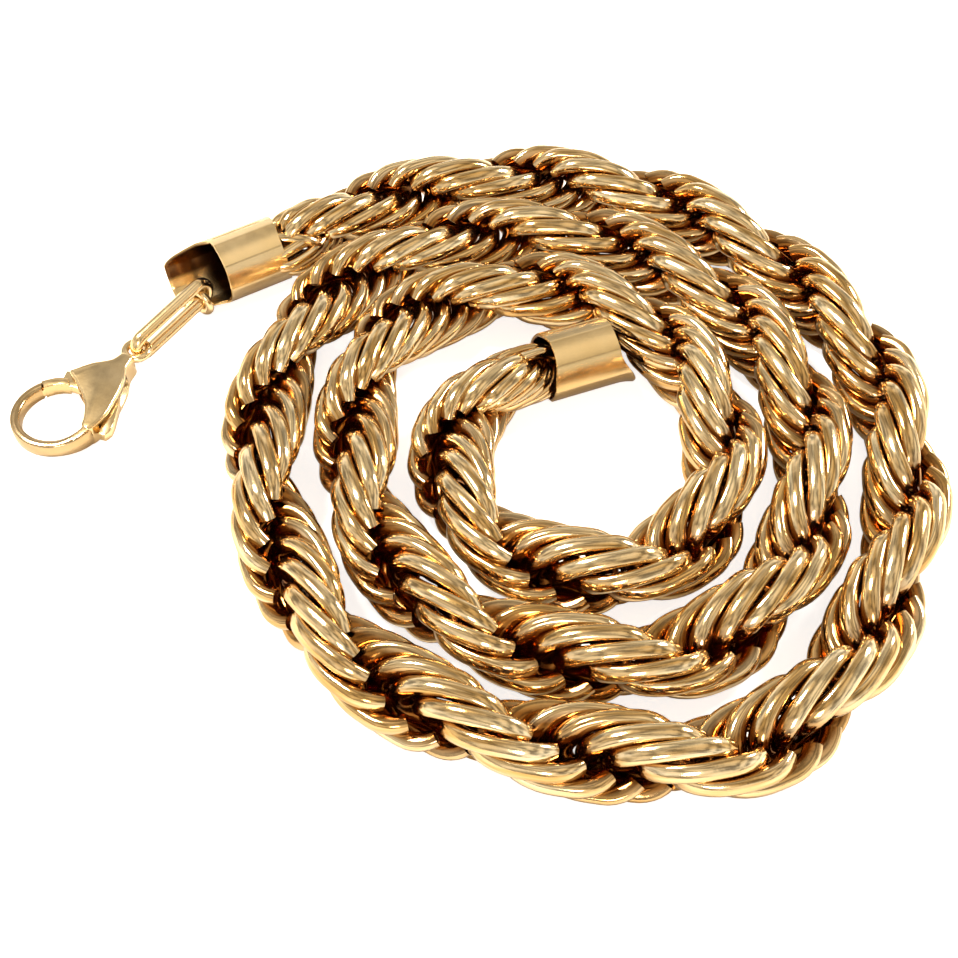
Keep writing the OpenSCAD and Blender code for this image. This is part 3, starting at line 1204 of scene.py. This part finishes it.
    @staticmethod
    def rounded(
        outline: np.ndarray, low: float, high: float, radius: float, steps: int = 5
    ) -> tuple[np.ndarray, Faces]:
        """Builds a plate with the outline, rounded along its top and bottom edges.

        Args:
            outline: Points in mm, counter-clockwise.
            low: Height of its underside.
            high: Height of its top.
            radius: Radius of the rounded edges.
            steps: Steps of the rounding.

        Returns:
            Points and faces.
        """
        d = np.roll(outline, -1, axis=0) - np.roll(outline, 1, axis=0)
        d /= np.linalg.norm(d, axis=1)[:, None]
        inward = np.c_[-d[:, 1], d[:, 0]]
        turns = [math.pi / 2 * i / steps for i in range(steps + 1)]
        rings = [(radius * (1 - math.sin(t)), low + radius * (1 - math.cos(t))) for t in turns]
        rings += [(radius * (1 - math.cos(t)), high - radius * (1 - math.sin(t))) for t in turns]
        rows = [(x, y, z) for inset, z in rings for x, y in outline + inward * inset]
        return np.array(rows), tube_faces(len(rings), len(outline))

    def smooth(self, table: Table, steps: int = 5) -> np.ndarray:
        """Draws a smooth closed outline through the points of a table.

        Args:
            table: Points in shares of the reach.
            steps: Steps from one point to the next.

        Returns:
            Points in mm, counter-clockwise.
        """
        p = np.array(table) * self.reach
        rows, n = [], len(p)
        for i in range(n):
            a, b, c, d = p[i - 1], p[i], p[(i + 1) % n], p[(i + 2) % n]
            for j in range(steps):
                t = j / steps
                square, cube = 2 * a - 5 * b + 4 * c - d, 3 * b - a - 3 * c + d
                rows.append(0.5 * (2 * b + (c - a) * t + square * t * t + cube * t**3))
        return counter_clockwise(np.array(rows))

    def build_body(self) -> bpy.types.Object:
        """Builds the teardrop body with its slot, in place of the CAD node.

        Returns:
            The body.
        """
        verts, faces = self.rounded(self.smooth(self.body), self.BODY_LOW, self.thickness, self.BODY_EDGE)
        body = mesh_object("lobster_body", verts, faces, CLASP_GOLD, self.CREASE)
        mid, slot = self.thickness / 2, self.lever_thickness + self.slot_room
        outline = np.array(self.slot) * self.reach
        rows = [(x, y, z) for z in (mid - slot / 2, mid + slot / 2) for x, y in outline]
        cut_away(body, mesh_object("slot", np.array(rows), tube_faces(2, len(outline)), CLASP_GOLD))
        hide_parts("clasp_body")
        return body

    def build_hook(self) -> bpy.types.Object:
        """Builds the hook, a band taller than wide with rounded edges and painted shade all over.

        Returns:
            The hook.
        """
        (cx, cy), rows = self.hook_middle, []
        half_width = self.hook_width / 2
        mean = self.hook_radius - half_width
        ends = math.radians(self.hook_start - self.TIP_OVER), math.radians(self.hook_start + self.hook_sweep)
        for i, a in enumerate(np.linspace(*ends, self.HOOK_STEPS)):
            grow = ease((math.degrees(a) - self.GROW_START) / self.GROW_RUN)
            half_height = self.hook_height / 2 + self.hook_growth * grow
            for j in range(self.HOOK_SIDES):
                b = 2 * math.pi * j / self.HOOK_SIDES
                across, up = (math.copysign(abs(v) ** self.HOOK_CORNER, v) for v in (math.cos(b), math.sin(b)))
                turn = a - math.radians(self.TIP_SLANT * across if i == 0 else 0.0)
                r = mean + across * half_width
                rows.append((cx + r * math.cos(turn), cy + r * math.sin(turn), self.thickness / 2 + up * half_height))
        faces = tube_faces(self.HOOK_STEPS, self.HOOK_SIDES)
        shade = np.full(len(rows), self.HOOK_SHADE)
        return mesh_object("lobster_hook", np.array(rows), faces, CLASP_GOLD, self.HOOK_CREASE, shade)

    def build_eye(self, ring: JumpRing) -> bpy.types.Object:
        """Builds the eye round the ring's wire.

        Args:
            ring: The jump ring.

        Returns:
            The eye.
        """
        height = float(ring.along(ring.bend + ring.span)[2]) - self.EYE_DROP
        points = wire_circle(self.eye_radius, self.eye_wire, self.EYE_STEPS, self.EYE_SIDES) + (0, 0, height)
        faces = tube_faces(self.EYE_STEPS, self.EYE_SIDES, closed=True)
        return mesh_object("lobster_eye", points, faces, CLASP_GOLD)

    def build_lever(self) -> bpy.types.Object:
        """Builds the lever with its thumb tab, and the thicker gate on it.

        Returns:
            The lever.
        """
        mid, half = self.thickness / 2, self.lever_thickness / 2
        inner, outer = self.hook_radius - self.hook_width, self.hook_radius
        inner_tip, outer_tip = self.hook_start + self.INNER_CORNER, self.hook_start - self.OUTER_CORNER
        points = [np.array(p) * self.reach for p in self.lever]
        points += self.round_hook(inner, (*self.LEVER_INNER, inner_tip))
        points += self.round_hook(outer, (outer_tip, *self.LEVER_OUTER))
        verts, faces = self.rounded(
            counter_clockwise(np.array(points)), mid - half, mid + half, self.LEVER_EDGE, self.LEVER_STEPS
        )
        points = self.round_hook(inner, (*self.GATE_INNER, self.hook_start - self.INNER_CORNER))
        points += self.round_hook(outer, (outer_tip, *self.GATE_OUTER))
        for inwards, angle in self.GATE_BACK:
            points += self.round_hook(outer - inwards, (angle,))
        more, more_faces = self.rounded(
            counter_clockwise(np.array(points)), mid - self.GATE_LOW, mid + self.GATE_HIGH,
            self.LEVER_EDGE, self.LEVER_STEPS,
        )
        faces = faces + [tuple(len(verts) + i for i in f) for f in more_faces]
        return mesh_object("lobster_lever", np.vstack([verts, more]), faces, CLASP_GOLD, self.CREASE)

    def build(self, ring: JumpRing) -> list[bpy.types.Object]:
        """Builds the clasp's body, hook, eye and lever in place of their CAD nodes.

        Args:
            ring: The jump ring that it hangs on.

        Returns:
            Its four pieces.
        """
        place = self.placement(ring)
        made = [self.build_body(), self.build_hook(), self.build_eye(ring)]
        for piece in made:
            piece.data.transform(place)
            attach(piece, Body.NECKLACE.value)
        lever = self.build_lever()
        lever.data.transform(place)
        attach(lever, Body.LEVER.value)
        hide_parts("clasp_lever")
        return [*made, lever]


# --------------------------------------------------------------------------- studio


@dataclass
class Studio:
    """Camera, floor and light.

    Args:
        camera_mm: Place of the camera, mm.
        down: How far down it looks, degrees.
        lens: Its focal length on a sensor of the given width, mm.
        sensor: Width of its sensor, mm.
        near: Least distance that it sees, m.
        floor_size: Side of the white surface, m.
        floor_colour: Its colour in the light.
        floor_glow_colour: Colour of its own glow.
        floor_roughness: Its roughness.
        floor_gloss: How much of the light it mirrors.
        floor_glow: How brightly the surface glows to the camera alone.
        floor_bounce: How brightly it glows to everything.
        room: Strength of the room's light.
        overhead: Colour of the room at heights from the horizon, 0, to overhead, 1.
        patch_scale: Scale of the room's lighter and darker patches.
        patch_detail: Their detail.
        patch_range: Values of their pattern that run from the dark to the light ones.
        patch_levels: Brightness of the dark and the light ones.
        lamps: Name, place and size in m, power in W and colour of each soft light.
    """

    camera_mm: tuple[float, float, float] = (1.51, -105.86, 129.62)
    down: float = 52.0
    lens: float = 52.48
    sensor: float = 36.0
    near: float = 0.001
    floor_size: float = 4.0
    floor_colour: tuple[float, ...] = (0.76, 0.71, 0.63, 1)
    floor_glow_colour: tuple[float, ...] = (1, 0.985, 0.97, 1)
    floor_roughness: float = 0.9
    floor_gloss: float = 0.1
    floor_glow: float = 0.78
    floor_bounce: float = 0.04
    room: float = 1.0
    overhead: tuple = (
        (0.0, (1.0, 0.97, 0.93, 1)),
        (0.22, (1.0, 0.97, 0.93, 1)),
        (0.40, (0.80, 0.75, 0.69, 1)),
        (0.58, (0.78, 0.71, 0.62, 1)),
        (0.80, (0.66, 0.57, 0.44, 1)),
        (1.0, (0.84, 0.75, 0.62, 1)),
    )
    patch_scale: float = 2.6
    patch_detail: float = 2.5
    patch_range: tuple[float, float] = (0.40, 0.60)
    patch_levels: tuple[float, float] = (0.30, 1.30)
    lamps: tuple = (
        ("key", (-0.22, 0.10, 0.40), 0.10, 3.2, (1, 0.98, 0.95)),
        ("window", (0.30, 0.16, 0.22), 0.08, 1.6, (1, 0.99, 0.97)),
        ("front", (-0.05, -0.38, 0.22), 0.10, 0.5, (1, 0.97, 0.93)),
    )

    def build(self) -> None:
        """Builds the whole studio."""
        bpy.context.scene.view_settings.view_transform = "Standard"
        self.floor()
        self.world()
        self.lights()
        self.camera()

    def camera(self) -> None:
        """Sets the photo's camera."""
        data = bpy.data.cameras.new("camera")
        data.lens, data.sensor_width = self.lens, self.sensor
        data.clip_start = self.near
        cam = bpy.data.objects.new("camera", data)
        cam.location = Vector(self.camera_mm) * MM
        cam.rotation_euler = (math.radians(90 - self.down), 0, 0)
        bpy.context.collection.objects.link(cam)
        bpy.context.scene.camera = cam

    def floor(self) -> None:
        """Makes the white surface. What the metal reflects of it is dimmer than what the camera sees."""
        bpy.ops.mesh.primitive_plane_add(size=self.floor_size)
        floor = bpy.context.object
        floor.name = "floor"
        m = bpy.data.materials.new("white surface")
        m.use_nodes = True
        tree = m.node_tree
        s = tree.nodes["Principled BSDF"]
        s.inputs["Base Color"].default_value = self.floor_colour
        s.inputs["Roughness"].default_value = self.floor_roughness
        s.inputs["Specular IOR Level"].default_value = self.floor_gloss
        s.inputs["Emission Color"].default_value = self.floor_glow_colour
        ray = tree.nodes.new("ShaderNodeLightPath")
        glow = math_node(tree, "MULTIPLY", ray.outputs["Is Camera Ray"], self.floor_glow)
        tree.links.new(math_node(tree, "ADD", glow, self.floor_bounce), s.inputs["Emission Strength"])
        floor.data.materials.append(m)

    def world(self) -> None:
        """Makes a room: bright all round the horizon and dim overhead, which the metal reflects."""
        w = bpy.data.worlds.new("studio")
        bpy.context.scene.world = w
        w.use_nodes = True
        tree = w.node_tree
        n, link = tree.nodes, tree.links.new
        coord, split, ramp = (n.new("ShaderNode" + kind) for kind in ("TexCoord", "SeparateXYZ", "ValToRGB"))
        link(coord.outputs["Generated"], split.inputs[0])
        link(split.outputs["Z"], ramp.inputs["Fac"])
        stops = ramp.color_ramp.elements
        for stop, (height, colour) in zip(stops, (self.overhead[0], self.overhead[-1])):
            stop.position, stop.color = height, colour
        for height, colour in self.overhead[1:-1]:
            stops.new(height).color = colour
        patches = n.new("ShaderNodeTexNoise")
        patches.inputs["Scale"].default_value = self.patch_scale
        patches.inputs["Detail"].default_value = self.patch_detail
        link(coord.outputs["Generated"], patches.inputs["Vector"])
        level = range_node(tree, patches.outputs["Fac"], self.patch_range, self.patch_levels)
        room = mix_node(tree, 1.0, ramp.outputs["Color"], level, "MULTIPLY")
        # The camera itself sees plain white past the surface's edge
        ray = n.new("ShaderNodeLightPath")
        link(mix_node(tree, ray.outputs["Is Camera Ray"], room, (1, 1, 1, 1)), n["Background"].inputs["Color"])
        n["Background"].inputs["Strength"].default_value = self.room

    def lights(self) -> None:
        """Makes the soft lights."""
        for name, place, size, power, colour in self.lamps:
            data = bpy.data.lights.new(name, "AREA")
            data.size, data.energy, data.color = size, power, colour
            lamp = bpy.data.objects.new(name, data)
            lamp.location = place
            lamp.rotation_euler = (-Vector(place)).to_track_quat("-Z", "Y").to_euler()
            bpy.context.collection.objects.link(lamp)


def main() -> None:
    """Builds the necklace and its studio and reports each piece."""
    logging.basicConfig(level=logging.INFO)
    ring = JumpRing()
    pieces = [
        *RopeChain().build(),
        Sleeve(
            "outer_sleeve", "outer_end_sleeve", mouth=(-24, 30.3), heading=211,
            open_at=37, open_half=72, scoop=5.6, seam_at=117,
        ).build(),
        Sleeve(
            "inner_sleeve", "inner_end_sleeve", mouth=(9.8, 9.0), heading=21,
            open_at=95, open_half=45, scoop=2.0, seam_at=57,
        ).build(),
        *ring.build(),
        *Clasp().build(ring),
    ]
    for piece in pieces:
        LOG.info("%s: %d points", piece.name, len(piece.data.vertices))
    paint_lower_side_shade()
    Studio().build()


if __name__ == "__main__":
    main()
